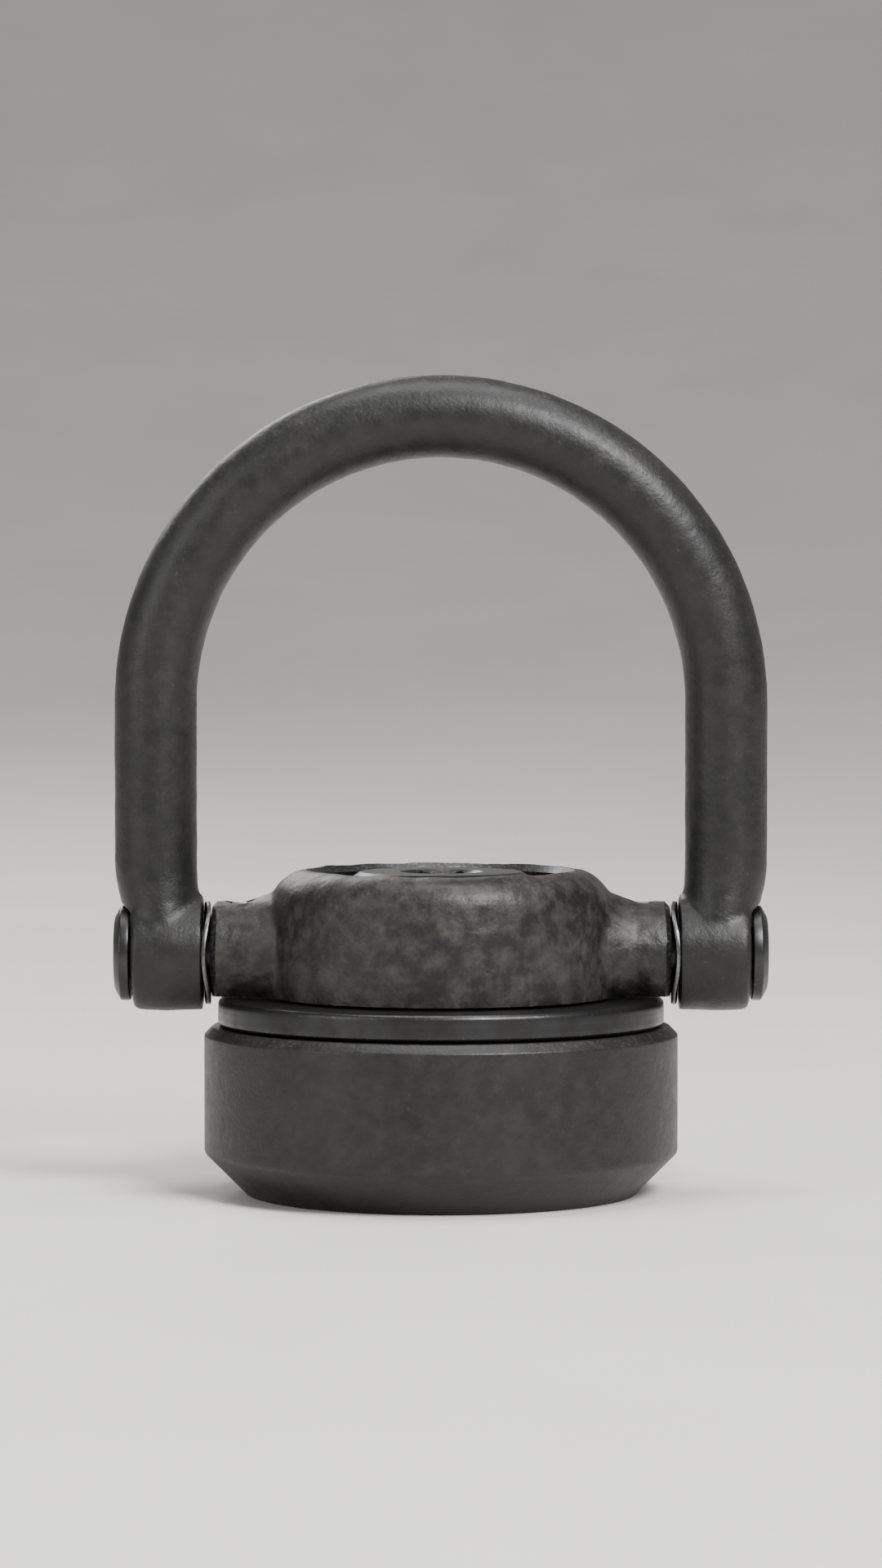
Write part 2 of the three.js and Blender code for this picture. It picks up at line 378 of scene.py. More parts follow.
def mark_edges(made, passes, gain):
    """Stores how strongly each point stands out as an edge, from 0 to 1, as attribute wear."""
    mesh = made.data
    count = len(mesh.vertices)
    place = point_values(mesh, "co")
    normal = point_values(mesh, "normal")
    edges = np.zeros(len(mesh.edges) * 2, int)
    mesh.edges.foreach_get("vertices", edges)
    a, b = edges.reshape(-1, 2).T
    along = place[b] - place[a]
    length = np.maximum(np.linalg.norm(along, axis=1), 1e-9)
    unit = along / length[:, None]
    bend = np.zeros(count)
    links = np.zeros(count)
    np.add.at(bend, a, -(unit * normal[a]).sum(1))
    np.add.at(bend, b, (unit * normal[b]).sum(1))
    np.add.at(links, a, 1)
    np.add.at(links, b, 1)
    links = np.maximum(links, 1)
    wear = bend / links
    for _ in range(passes):
        total = wear * links
        np.add.at(total, a, wear[b])
        np.add.at(total, b, wear[a])
        wear = total / (2 * links)
    layer = mesh.attributes.new("wear", "FLOAT", "POINT")
    layer.data.foreach_set("value", np.clip(wear * gain, 0, 1).astype(np.float32))


def finish_piece(made, node, surface, sharp=35, wear_passes=1, wear_gain=2.5):
    """Shades a piece and puts it in place of its CAD node."""
    if not made.data.materials:
        made.data.materials.append(surface)
    made.data.polygons.foreach_set("use_smooth", [True] * len(made.data.polygons))
    made.data.set_sharp_from_angle(angle=math.radians(sharp))
    mark_edges(made, wear_passes, wear_gain)
    made.name = node + "_detail"
    made.data.name = made.name
    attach(made, BODY_OF[node])
    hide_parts(node)
    return made


# ---- materials ----


class Surface:
    """A Principled material with short calls for the nodes that feed it."""

    def __init__(self, name, metallic, roughness, colour):
        self.material = bpy.data.materials.new(name)
        self.material.use_nodes = True
        self.nodes = self.material.node_tree.nodes
        self.links = self.material.node_tree.links
        self.shader = self.nodes["Principled BSDF"]
        self.shader.inputs["Metallic"].default_value = metallic
        self.shader.inputs["Roughness"].default_value = roughness
        self.shader.inputs["Base Color"].default_value = (*colour, 1)
        self.place = self.add("ShaderNodeTexCoord").outputs["Object"]

    def add(self, kind, inputs=None, **settings):
        """Adds a node; each input is another node's socket or a plain value."""
        node = self.nodes.new(kind)
        for key, value in settings.items():
            setattr(node, key, value)
        for key, value in (inputs or {}).items():
            if isinstance(value, bpy.types.NodeSocket):
                self.links.new(value, node.inputs[key])
            else:
                node.inputs[key].default_value = value
        return node

    def feed(self, name, socket):
        """Links a socket to one of the shader's inputs."""
        self.links.new(socket, self.shader.inputs[name])

    def grain(self, size, detail=3.0, place=None, roughness=0.55):
        """Noise from 0 to 1 with features of about that many millimetres."""
        inputs = {
            "Vector": place or self.place,
            "Scale": 1 / (size * MM),
            "Detail": detail,
            "Roughness": roughness,
        }
        return self.add("ShaderNodeTexNoise", inputs).outputs["Fac"]

    def spread(self, value, low, high, to_low=0.0, to_high=1.0):
        """Stretches the part of a value between low and high to a new range."""
        inputs = {
            "Value": value,
            "From Min": low,
            "From Max": high,
            "To Min": to_low,
            "To Max": to_high,
        }
        return self.add("ShaderNodeMapRange", inputs).outputs["Result"]

    def maths(self, operation, a, b=0.0):
        """One sum on two values, each an output socket or a number."""
        return self.add("ShaderNodeMath", {0: a, 1: b}, operation=operation).outputs[0]

    def blend(self, amount, a, b):
        """Colour a into colour b, each an output socket or three numbers."""
        colours = [c if isinstance(c, bpy.types.NodeSocket) else (*c, 1) for c in (a, b)]
        inputs = {0: amount, 6: colours[0], 7: colours[1]}
        return self.add("ShaderNodeMix", inputs, data_type="RGBA").outputs[2]

    def wear(self):
        """How strongly a point stands out as an edge, as mark_edges stored it."""
        return self.add("ShaderNodeAttribute", attribute_name="wear").outputs["Fac"]

    def upward(self):
        """How far a surface faces up, from -1 to 1, in the piece's own frame."""
        normal = self.add("ShaderNodeTexCoord").outputs["Normal"]
        return self.add("ShaderNodeSeparateXYZ", {0: normal}).outputs["Z"]

    def relief(self, layers):
        """Bump from (height socket, depth in millimetres) layers."""
        normal = None
        for height, depth in layers:
            inputs = {"Height": height, "Strength": 1.0, "Distance": depth * MM}
            if normal:
                inputs["Normal"] = normal
            normal = self.add("ShaderNodeBump", inputs).outputs["Normal"]
        self.feed("Normal", normal)

    def lathe_place(self, axis):
        """(radius, height) round the swivel axis or the pivot axis, for turning marks."""
        parts = self.add("ShaderNodeSeparateXYZ", {0: self.place})
        if axis == "Z":
            across, other, along = parts.outputs["X"], parts.outputs["Y"], parts.outputs["Z"]
        else:
            across, along = parts.outputs["Y"], parts.outputs["X"]
            other = self.maths("SUBTRACT", parts.outputs["Z"], PIVOT_Z * MM)
        squares = self.maths(
            "ADD", self.maths("MULTIPLY", across, across), self.maths("MULTIPLY", other, other)
        )
        radius = self.maths("SQRT", squares)
        return self.add("ShaderNodeCombineXYZ", {0: radius, 1: along, 2: 0.0}).outputs[0]


def black_coat(name, mottle):
    """Satin black coating on a forging: dusty, slightly mottled, and rubbed thin on its edges."""
    s = Surface(name, 0.0, 0.5, (0.02, 0.02, 0.02))
    s.shader.inputs["Specular IOR Level"].default_value = 0.36
    patches = s.grain(6.0, 3.0)
    blotches = s.grain(1.3, 6.0, roughness=0.65)
    specks = s.grain(0.25, 3.0)
    dark = s.blend(s.spread(patches, 0.35, 0.65), (0.005, 0.005, 0.0052), (0.009, 0.0089, 0.0086))
    cloud = s.maths("MULTIPLY", s.spread(blotches, 0.42, 0.78), mottle)
    grey = s.blend(cloud, dark, (0.056, 0.051, 0.045))
    dust_place = s.maths("ADD", s.spread(s.upward(), 0.1, 1.0, 0.0, 0.5), s.spread(specks, 0.5, 0.75))
    dust = s.maths("MULTIPLY", s.spread(dust_place, 0.6, 1.4), s.spread(blotches, 0.3, 0.6))
    dusty = s.blend(s.maths("MULTIPLY", dust, 0.3), grey, (0.14, 0.132, 0.12))
    worn = s.maths("ADD", s.wear(), s.spread(blotches, 0.3, 0.8, -0.5, 0.3))
    bare = s.spread(s.maths("ADD", worn, s.spread(specks, 0.3, 0.7, -0.25, 0.2)), 0.5, 0.85)
    s.feed("Base Color", s.blend(bare, dusty, (0.17, 0.165, 0.155)))
    s.feed("Metallic", s.maths("MULTIPLY", bare, 0.85))
    finish = s.maths("ADD", blotches, s.maths("MULTIPLY", specks, 0.6))
    s.feed("Roughness", s.spread(finish, 0.5, 1.1, 0.35, 0.54))
    s.relief([(blotches, 0.03 + 0.05 * mottle), (specks, 0.025)])
    return s.material


def turned_steel(name, axis, light, dark, roughness):
    """Lathe-turned steel with fine rings, and stains that vary the finish."""
    s = Surface(name, 1.0, roughness, light)
    rings_place = s.lathe_place(axis)
    rings = s.grain(0.09, 2.0, rings_place)
    wide_rings = s.grain(0.9, 2.0, rings_place)
    stains = s.grain(2.4, 5.0)
    specks = s.grain(0.2, 2.0)
    tone = s.blend(s.spread(stains, 0.35, 0.68), light, dark)
    edge = s.spread(s.maths("ADD", s.wear(), s.spread(specks, 0.3, 0.7, -0.3, 0.3)), 0.35, 0.8)
    brighter = tuple(min(1.0, c * 1.5 + 0.12) for c in light)
    s.feed("Base Color", s.blend(s.maths("MULTIPLY", edge, 0.7), tone, brighter))
    mixed = s.maths("ADD", s.maths("MULTIPLY", rings, 0.6), s.maths("MULTIPLY", stains, 0.6))
    s.feed("Roughness", s.spread(mixed, 0.4, 0.85, roughness - 0.08, roughness + 0.14))
    s.relief([(wide_rings, 0.006), (rings, 0.008), (specks, 0.002)])
    return s.material


def polished_steel(name):
    """Hardened bearing steel: bright, with faint running scratches and a film of grease."""
    s = Surface(name, 1.0, 0.16, (0.62, 0.63, 0.64))
    film = s.grain(1.1, 4.0)
    scratches = s.grain(0.05, 2.0, s.lathe_place("Z"))
    s.feed("Base Color", s.blend(s.spread(film, 0.4, 0.7), (0.66, 0.67, 0.68), (0.42, 0.4, 0.34)))
    s.feed("Roughness", s.spread(film, 0.35, 0.7, 0.1, 0.34))
    s.relief([(scratches, 0.002)])
    return s.material


def bearing_bronze(name):
    """Cast and turned bronze, browned by oil."""
    s = Surface(name, 1.0, 0.38, (0.55, 0.33, 0.13))
    stains = s.grain(1.5, 5.0)
    rings = s.grain(0.08, 2.0, s.lathe_place("Z"))
    s.feed("Base Color", s.blend(s.spread(stains, 0.35, 0.7), (0.56, 0.35, 0.15), (0.28, 0.17, 0.08)))
    s.feed("Roughness", s.spread(stains, 0.3, 0.7, 0.3, 0.5))
    s.relief([(rings, 0.006), (stains, 0.004)])
    return s.material


def seal_rubber(name):
    """Black nitrile rubber with a faint moulded grain and some bloom."""
    s = Surface(name, 0.0, 0.7, (0.02, 0.02, 0.02))
    bloom = s.grain(2.0, 4.0)
    pores = s.grain(0.12, 2.0)
    s.feed("Base Color", s.blend(s.spread(bloom, 0.4, 0.75), (0.016, 0.016, 0.016), (0.05, 0.05, 0.05)))
    s.feed("Roughness", s.spread(bloom, 0.3, 0.7, 0.6, 0.85))
    s.relief([(pores, 0.006)])
    return s.material


# ---- the base and what is fixed to it ----


def thread_shape(crest_r, low, high, outside):
    """Radius of a screw thread cut in or on a wall that stands at crest_r, between two levels."""

    def shape(radius, z, angle):
        if abs(radius - crest_r) > 1e-3 or not low <= z <= high:
            return radius
        turn = (z / THREAD_PITCH - angle / (2 * math.pi)) % 1.0
        flank = min(max(abs(turn - 0.5) * THREAD_SLOPE - THREAD_FLAT, 0.0), 1.0)
        fade = min(1.0, (z - low) / THREAD_RUN_OUT, (high - z) / THREAD_RUN_OUT)
        depth = flank * fade * THREAD_DEPTH
        return radius - depth if outside else radius + depth

    return shape


def levels(low, high, step):
    """Evenly spaced heights from low to high, about a step apart."""
    count = max(2, round((high - low) / step))
    return [low + (high - low) * i / count for i in range(count + 1)]


def wall(radius, low, high, step):
    """Profile points straight up a wall, close enough together to carry a thread or knurl."""
    return [Vector((radius, z)) for z in levels(low, high, step)]


def make_weld_base(surface):
    """A round boss with a bevelled foot and a tapped blind hole with a drill point."""
    hole_r = SCREW_R + 0.15 - THREAD_DEPTH
    floor = screw_low.z - 0.9  # clear of the screw's tip
    thread_low = floor + 0.2
    top = base_high.z
    mouth = top - 0.7
    outside = rounded(
        [
            (0, 0, 0),
            (BASE_R - FOOT_BEVEL, 0, 0.25),
            (BASE_R, FOOT_BEVEL, 0.5),
            (BASE_R, top - 0.6, 0.25),
            (BASE_R - 0.6, top, 0.25),
            (hole_r + 0.8, top, 0.1),
            (hole_r, mouth, 0),
        ]
    )
    thread = wall(hole_r, thread_low, mouth, THREAD_STEP)
    bottom = [Vector((hole_r, floor)), Vector((0, floor - 0.8))]
    shape = thread_shape(hole_r, thread_low, mouth, outside=False)
    made = turned("base", outside[:-1] + thread[::-1] + bottom, FINE, shape)
    finish_piece(made, "weld_base", surface)


def make_flanged_bushing(surface):
    """A wide flange under the body, and the barrel that the body turns on."""
    rim = bushing_high.x
    low, top = bushing_low.z, bushing_high.z
    profile = rounded(
        [
            (SCREW_HOLE_R, low, 0.2),
            (rim, low, 0.4),
            (rim, FLANGE_TOP, 0.4),
            (BARREL_R, FLANGE_TOP, 0.15),
            (BARREL_R, top, 0.25),
            (SCREW_HOLE_R, top, 0.2),
            (SCREW_HOLE_R, low, 0.2),
        ]
    )
    finish_piece(turned("bushing", profile), "flanged_bushing", surface)


def hex_tool(low, high):
    """A hexagonal prism along Z, for the screw's socket."""
    angles = [math.radians(60 * k) for k in range(6)]
    vertices = [
        (HEX_CORNER_R * math.cos(a), HEX_CORNER_R * math.sin(a), z)
        for z in (low, high)
        for a in angles
    ]
    sides = [[k, (k + 1) % 6, 6 + (k + 1) % 6, 6 + k] for k in range(6)]
    return mesh_from("hex", vertices, [*sides, list(range(5, -1, -1)), list(range(6, 12))])


def make_mounting_bolt(surface):
    """A low-head screw with a real thread, a knurled rim and a hexagon socket."""
    tip, top = screw_low.z, screw_high.z
    thread_low, thread_high = tip + SCREW_CHAMFER, base_high.z + 0.6
    knurl_low, knurl_high = HEAD_UNDER + 0.45, top - 0.75
    under = rounded(
        [
            (SCREW_R, thread_high, 0),
            (SCREW_R, HEAD_UNDER, 0),
            (HEAD_R, HEAD_UNDER, 0.25),
            (HEAD_R, knurl_low, 0),
        ]
    )
    crown = rounded(
        [
            (HEAD_R, knurl_high, 0),
            (HEAD_R, top - 0.45, 0.15),
            (HEAD_R - 0.7, top, 0.3),
            (0, top, 0),
        ]
    )
    profile = [
        Vector((0, tip)),
        Vector((SCREW_R - SCREW_CHAMFER, tip)),
        *wall(SCREW_R, thread_low, thread_high, THREAD_STEP),
        *under[1:-1],
        *wall(HEAD_R, knurl_low, knurl_high, 0.1),
        *crown[1:],
    ]
    screw_thread = thread_shape(SCREW_R, thread_low, thread_high, outside=True)

    def shape(radius, z, angle):
        if radius > HEAD_R - 1e-3 and knurl_low < z < knurl_high:
            return radius - KNURL_DEPTH * abs(math.sin(KNURL_COUNT / 2 * angle))
        return screw_thread(radius, z, angle)

    made = turned("bolt", profile, 4 * KNURL_COUNT, shape)
    floor = top - HEX_DEPTH
    drill_r = HEX_FLATS / 2 - 0.1
    chamfer = (
        (0, top - 0.5),
        (HEX_FLATS / 2, top - 0.35),
        (HEX_CORNER_R + 0.25, top + 0.1),
        (0, top + 0.1),
    )
    drill = ((0, floor - 1.1), (drill_r, floor), (drill_r, top - 1), (0, top - 1))
    tools = [
        hex_tool(floor, top + 1),
        cutter("chamfer", chamfer, shift()),
        cutter("drill", drill, shift()),
    ]
    carve(made, tools, surface)
    finish_piece(made, "mounting_bolt", surface, wear_passes=0)


def make_cover_washer(surface):
    """A plain washer under the screw's head, wide enough to cover the bearing."""
    profile = ring_profile(SCREW_HOLE_R, washer_high.x, washer_low.z, washer_high.z, 0.1, 0.25)
    finish_piece(turned("washer", profile), "cover_washer", surface)


def make_race(node, bore, surface, groove_up):
    """A flat bearing ring with a round groove for the balls."""
    low, high = box_mm(node)
    ball_low, ball_high = box_mm("ball_01")
    pitch = (ball_low.x + ball_high.x) / 2
    ball_z = (ball_low.z + ball_high.z) / 2
    face, back = (high.z, low.z) if groove_up else (low.z, high.z)
    half = math.acos(abs(ball_z - face) / RACE_GROOVE_R)
    reach = -RACE_GROOVE_R if groove_up else RACE_GROOVE_R
    steps = 8  # from the groove's edge to its bottom
    groove = [
        Vector((pitch + RACE_GROOVE_R * math.sin(a), ball_z + reach * math.cos(a)))
        for a in (half * (1 - i / steps) for i in range(2 * steps + 1))
    ]
    outer = rounded([(bore, face, 0), (bore, back, 0.1), (high.x, back, 0.1), (high.x, face, 0)])
    made = turned("race", [*outer, *groove, outer[0].copy()])
    finish_piece(made, node, surface)


# ---- the balls and their cage ----


def make_cage(surface):
    """A flat ring with a drilled and countersunk pocket for each ball."""
    low, high = box_mm("ball_cage")
    profile = ring_profile(CAGE_BORE_R, high.x, low.z, high.z, 0.15, 0.15)
    made = turned("cage", profile)
    under, over = low.z - 0.1, high.z + 0.1
    mouth_r = CAGE_POCKET_R + 0.15
    pocket = (
        (0, under),
        (mouth_r, under),
        (CAGE_POCKET_R, low.z + 0.08),
        (CAGE_POCKET_R, high.z - 0.08),
        (mouth_r, over),
        (0, over),
    )
    tools = []
    for node in ball_nodes():
        ball_low, ball_high = box_mm(node)
        centre = (ball_low + ball_high) / 2
        tools.append(cutter("pocket", pocket, shift(centre.x, centre.y), SMALL))
    carve(made, tools, surface)
    finish_piece(made, "ball_cage", surface)


def ball_nodes():
    """The names of the balls' nodes, in order."""
    return sorted(n for n in frame["nodes"] if n.startswith("ball_") and n != "ball_cage")


def make_balls(surface):
    """Each ball is turned from a half circle between its two poles."""
    steps, around = 24, 40
    for node in ball_nodes():
        low, high = box_mm(node)
        centre = (low + high) / 2
        radius = (high.x - low.x) / 2
        arc = [
            Vector((radius * math.sin(angle), -radius * math.cos(angle)))
            for angle in (math.pi * i / steps for i in range(steps + 1))
        ]
        arc[0].x = 0
        arc[-1].x = 0
        ball = move(turned("ball", arc, around), shift(centre.x, centre.y, centre.z))
        finish_piece(ball, node, surface, wear_gain=0)


# ---- the turning body ----


def body_blank(foot):
    """The body's forging, from foot up: a round hub and two arms in one skin."""
    top = body_high.z
    hub = [
        (0, foot, 0),
        (HUB_R, foot, 0),
        (HUB_R, body_low.z + 2.5, 0.8),
        (HUB_R - 0.15, top - 3.4, 0.5),
        (HUB_R - 0.35, top, 2.6),
        (0, top, 0),
    ]
    arm_r = PIVOT_Z - (body_low.z - 0.85)
    arm = (
        (0, ARM_ROOT),
        (5.2, ARM_ROOT),
        (4.6, ARM_ROOT + 3.5),
        (arm_r, ARM_ROOT + 6),
        (arm_r, ARM_BLANK_END),
        (0, ARM_BLANK_END),
    )
    blanks = [turned("hub", rounded(hub, steps=12))]
    blanks += [cutter("arm", arm, along_pivot(side)) for side in (1, -1)]
    return roughen(fused("body", blanks, 26), [(0.17, 2.0), (0.07, 0.7)])


def body_bores():
    """The tool for everything bored on the swivel axis, from the bush's hole to the hub's mouth."""
    face, top = body_low.z, body_high.z
    chamfered_r = BUSH_HOLE_R + 0.3
    mouth_r = BORE_R + 0.8
    profile = rounded(
        [
            (0, face - 2, 0),
            (chamfered_r, face - 2, 0),
            (chamfered_r, face, 0),
            (BUSH_HOLE_R, face + 0.3, 0),
            (BUSH_HOLE_R, BODY_LEDGE - 0.2, 0),
            (BUSH_HOLE_R + 0.2, BODY_LEDGE, 0),
            (BORE_R, BODY_LEDGE, 0.2),
            (BORE_R, top - 1.2, 0),
            (BORE_R, top - 0.9, 0),
            (BORE_R, top - 0.6, 0),
            (mouth_r, top + 0.2, 0),
            (mouth_r, top + 2, 0),
            (0, top + 2, 0),
        ]
    )
    return turned("bores", profile)


def seal_groove():
    """The tool for the groove that holds the seal in the body's underside."""
    face = body_low.z
    under, bottom = face - 1, face + 0.7
    inner = SEAL_BORE_R - 0.1
    profile = rounded(
        [
            (inner, under, 0),
            (SEAL_GROOVE_R, under, 0),
            (SEAL_GROOVE_R, bottom, 0.15),
            (inner, bottom, 0.15),
            (inner, under, 0),
        ]
    )
    return turned("seal groove", profile)


def make_body(skin, machined):
    """A forging with soft inside corners, then bored, faced and drilled."""
    face = body_low.z
    made = body_blank(face - 1.2)
    made.data.materials.append(skin)

    hole_end = pin_low.x - 0.3
    past_arm = ARM_END + 0.1
    pin_hole = (
        (0, hole_end - 0.8),
        (PIN_HOLE_R, hole_end),
        (PIN_HOLE_R, ARM_END - 0.25),
        (PIN_HOLE_R + 0.35, past_arm),
        (0, past_arm),
    )
    beyond, wide = ARM_BLANK_END + 1, 8
    arm_face = (
        (0, ARM_END),
        (3.35, ARM_END),
        (4.3, ARM_END - 0.95),
        (wide, 16),
        (wide, beyond),
        (0, beyond),
    )
    roll_top = roll_high.z - 0.2
    counterbore_r = ROLL_HOLE_R + 0.4
    below, above = 12, 23  # the roll pin's hole is cut between these heights
    roll_hole = (
        (0, below),
        (ROLL_HOLE_R, below),
        (ROLL_HOLE_R, roll_top),
        (counterbore_r, roll_top + 0.5),
        (counterbore_r, above),
        (0, above),
    )
    tools = [
        cutter("underside", plain_cut(30, 4, face), shift(), FINE),
        body_bores(),
        seal_groove(),
    ]
    for side in (1, -1):
        tools.append(cutter("pin hole", pin_hole, along_pivot(side)))
        tools.append(cutter("arm face", arm_face, along_pivot(side)))
        tools.append(cutter("roll hole", roll_hole, shift(x=side * ROLL_X), SMALL))
    carve(made, tools, machined)
    finish_piece(made, "swivel_body", skin, sharp=40, wear_passes=2, wear_gain=3.0)


def make_swivel_bush(surface):
    """A plain bush between the body and the bushing's barrel."""
    low, high = box_mm("swivel_bush")
    profile = ring_profile(BUSH_BORE_R, high.x, low.z, high.z, 0.15, 0.1)
    finish_piece(turned("bush", profile), "swivel_bush", surface)


def make_grease_seal(surface):
    """A ring with a rounded back and a lip that runs on the flange."""
    low, high = box_mm("grease_seal")
    inner, outer = SEAL_BORE_R, high.x
    profile = rounded(
        [
            (inner, low.z + 0.25, 0.1),
            (inner + 0.5, low.z + 0.2, 0.1),
            (outer - 0.55, low.z, 0.1),
            (outer, low.z + 0.25, 0.12),
            (outer, high.z, 0.2),
            (inner, high.z, 0.2),
            (inner, low.z + 0.25, 0.1),
        ]
    )
    finish_piece(turned("seal", profile), "grease_seal", surface)


def make_pivot_pin(node, side, surface):
    """A headed pin with a domed head, chamfered nose and cross hole."""
    nose, end = pin_low.x, pin_high.x
    head = EYE_OUT + 0.15
    chamfer = 0.35
    relief_r = PIN_R - 0.15  # a small groove under the head
    profile = rounded(
        [
            (0, nose, 0),
            (PIN_R - chamfer, nose, 0.1),
            (PIN_R, nose + chamfer, 0.15),
            (PIN_R, head - 0.8, 0),
            (PIN_R, head - 0.5, 0),
            (PIN_R, head - 0.25, 0),
            (relief_r, head - 0.12, 0),
            (relief_r, head, 0),
            (PIN_HEAD_R, head, 0.12),
            (PIN_HEAD_R, end - 0.5, 0.2),
            (PIN_HEAD_R - 0.8, end - 0.06, 0.5),
            (PIN_HEAD_R - 2.2, end, 1.0),
            (0, end, 0),
        ]
    )
    made = move(turned("pin", profile, SMALL_TURNED), along_pivot(side))
    centre_mark = ((0, end - 0.55), (0.42, end + 0.05), (0, end + 0.05))
    tools = [
        cutter("cross hole", plain_cut(ROLL_HOLE_R, 10, 25), shift(x=side * ROLL_X), SMALL),
        cutter("centre mark", centre_mark, along_pivot(side), SMALL),
    ]
    carve(made, tools, surface)
    finish_piece(made, node, surface)


def make_roll_pin(node, side, surface):
    """A slotted spring pin with chamfered ends, its slot along its whole length."""
    outer = (roll_high.x - roll_low.x) / 2
    inner = outer - ROLL_PIN_WALL
    end_r = outer - 0.12
    low, high = roll_low.z, roll_high.z
    slot = 0.35  # half of the slot's angle, in radians
    steps = 40
    rows = [
        (inner, low + 0.05),
        (end_r, low),
        (outer, low + 0.2),
        (outer, high - 0.2),
        (end_r, high),
        (inner, high - 0.05),
    ]
    vertices = []
    for i in range(steps + 1):
        angle = slot + (2 * math.pi - 2 * slot) * i / steps
        for radius, z in rows:
            vertices.append((radius * math.cos(angle), radius * math.sin(angle), z))
    wide = len(rows)
    faces = []
    for i in range(steps):
        for j in range(wide):
            a, b = i * wide + j, i * wide + (j + 1) % wide
            faces.append([a, b, b + wide, a + wide])
    faces.append(list(range(wide)))
    faces.append(list(range(steps * wide, (steps + 1) * wide)))
    made = move(mesh_from("roll", vertices, faces), shift(x=side * ROLL_X))
    finish_piece(made, node, surface)


def make_friction_ring(node, side, surface):
    """A thin wave washer: its three waves bear on the arm and the bail's eye in turn."""
    low, high = ARM_END + 0.03, EYE_IN - 0.03
    middle = (low + high) / 2
    half_thick = WAVE_WASHER_T / 2
    swing = (high - low - WAVE_WASHER_T) / 2
    inner, outer = PIN_R + 0.15, friction_high.y
    profile = ring_profile(inner, outer, middle - half_thick, middle + half_thick, 0.05, 0.05, 2)
    made = turned("ring", profile, SMALL_TURNED)
    waves = 3
    for vertex in made.data.vertices:
        angle = math.atan2(vertex.co.y, vertex.co.x)
        vertex.co.z += swing * math.sin(waves * angle) * MM
    move(made, along_pivot(side))
    finish_piece(made, node, surface)


# ---- the bail ----


def bail_sections():
    """(centre, outward direction, half width, half depth) along the bail, from foot to foot."""
    proud = 0.1  # the foot's outer side stands out twice this far from the eye
    eye_x = (EYE_IN + EYE_OUT) / 2 + proud
    eye_half_width = (EYE_OUT - EYE_IN) / 2 + proud
    foot = []
    for height in levels(0, ARCH_Z - PIVOT_Z, 0.5):
        blend = min(1.0, height / NECK_HEIGHT)
        ease = blend * blend * (3 - 2 * blend)
        x = eye_x + (LEG_X - eye_x) * ease
        half_width = eye_half_width + (BAR_R - eye_half_width) * ease
        half_depth = EYE_HALF_DEPTH + (BAR_R - EYE_HALF_DEPTH) * ease
        foot.append((x, PIVOT_Z + height, 1.0, 0.0, half_width, half_depth))
    arch = []
    steps = 96
    for i in range(1, steps):
        a = math.pi * i / steps
        x, z = LEG_X * math.cos(a), ARCH_Z + LEG_X * math.sin(a)
        arch.append((x, z, math.cos(a), math.sin(a), BAR_R, BAR_R))
    other = [(-x, z, -ox, oz, w, d) for x, z, ox, oz, w, d in reversed(foot)]
    return foot + arch + other


def bent_bar():
    """The bail's bar, without its eyes, as rings of points joined from section to section."""
    around = 48
    vertices = []
    for x, z, out_x, out_z, half_width, half_depth in bail_sections():
        for k in range(around):
            a = 2 * math.pi * k / around
            across = half_width * math.cos(a)
            vertices.append((x + across * out_x, half_depth * math.sin(a), z + across * out_z))
    rows = len(vertices) // around
    faces = []
    for i in range(rows - 1):
        for k in range(around):
            n = (k + 1) % around
            a = i * around
            faces.append([a + k, a + n, a + around + n, a + around + k])
    faces.append(list(range(around)))
    faces.append(list(range((rows - 1) * around, rows * around)))
    return mesh_from("bar", vertices, faces)


def make_bail(skin, machined):
    """The bent bar and its eyes in one skin, then drilled and faced for the pins."""
    eye_edge_r = EYE_R - 0.1
    eye_start, eye_end = EYE_IN - 0.5, EYE_OUT + 0.05
    eye = rounded(
        [
            (0, eye_start, 0),
            (eye_edge_r, eye_start, 0.3),
            (EYE_R, EYE_IN + 2.5, 2),
            (eye_edge_r, eye_end, 0.5),
            (0, eye_end, 0),
        ]
    )
    eyes = [cutter("eye", eye, along_pivot(side)) for side in (1, -1)]
    made = fused("bail", [bent_bar(), *eyes], 18)
    roughen(made, [(0.05, 2.2), (0.03, 0.7)])
    made.data.materials.append(skin)

    inboard, outboard = 15, 26  # the cuts start and end here, clear of the eyes
    past_eye = EYE_OUT + 0.1
    eye_hole = (
        (0, inboard),
        (PIN_HOLE_R + 1.05, EYE_IN - 0.8),
        (PIN_HOLE_R, EYE_IN + 0.25),
        (PIN_HOLE_R, EYE_OUT - 0.2),
        (PIN_HOLE_R + 0.3, past_eye),
        (0, past_eye),
    )
    spotface = (
        (0, EYE_OUT),
        (SPOTFACE_R - 0.15, EYE_OUT),
        (SPOTFACE_R, EYE_OUT + 0.15),
        (SPOTFACE_R, outboard),
        (0, outboard),
    )
    face_r = 4.6
    eye_face = (
        (0, inboard),
        (face_r, inboard),
        (face_r, EYE_IN + 0.3),
        (face_r - 0.65, EYE_IN),
        (0, EYE_IN),
    )
    tools = [
        cutter("eye cut", cut, along_pivot(side))
        for side in (1, -1)
        for cut in (eye_hole, spotface, eye_face)
    ]
    carve(made, tools, machined)
    finish_piece(made, "bail", skin, sharp=40, wear_passes=2, wear_gain=3.0)


# ---- floor, light and camera, in metres but for the floor ----

LIGHT_AIM = Vector((0, 0, 0.03))
CAMERA_DISTANCE = 0.35
CAMERA_ELEVATION = math.radians(2)


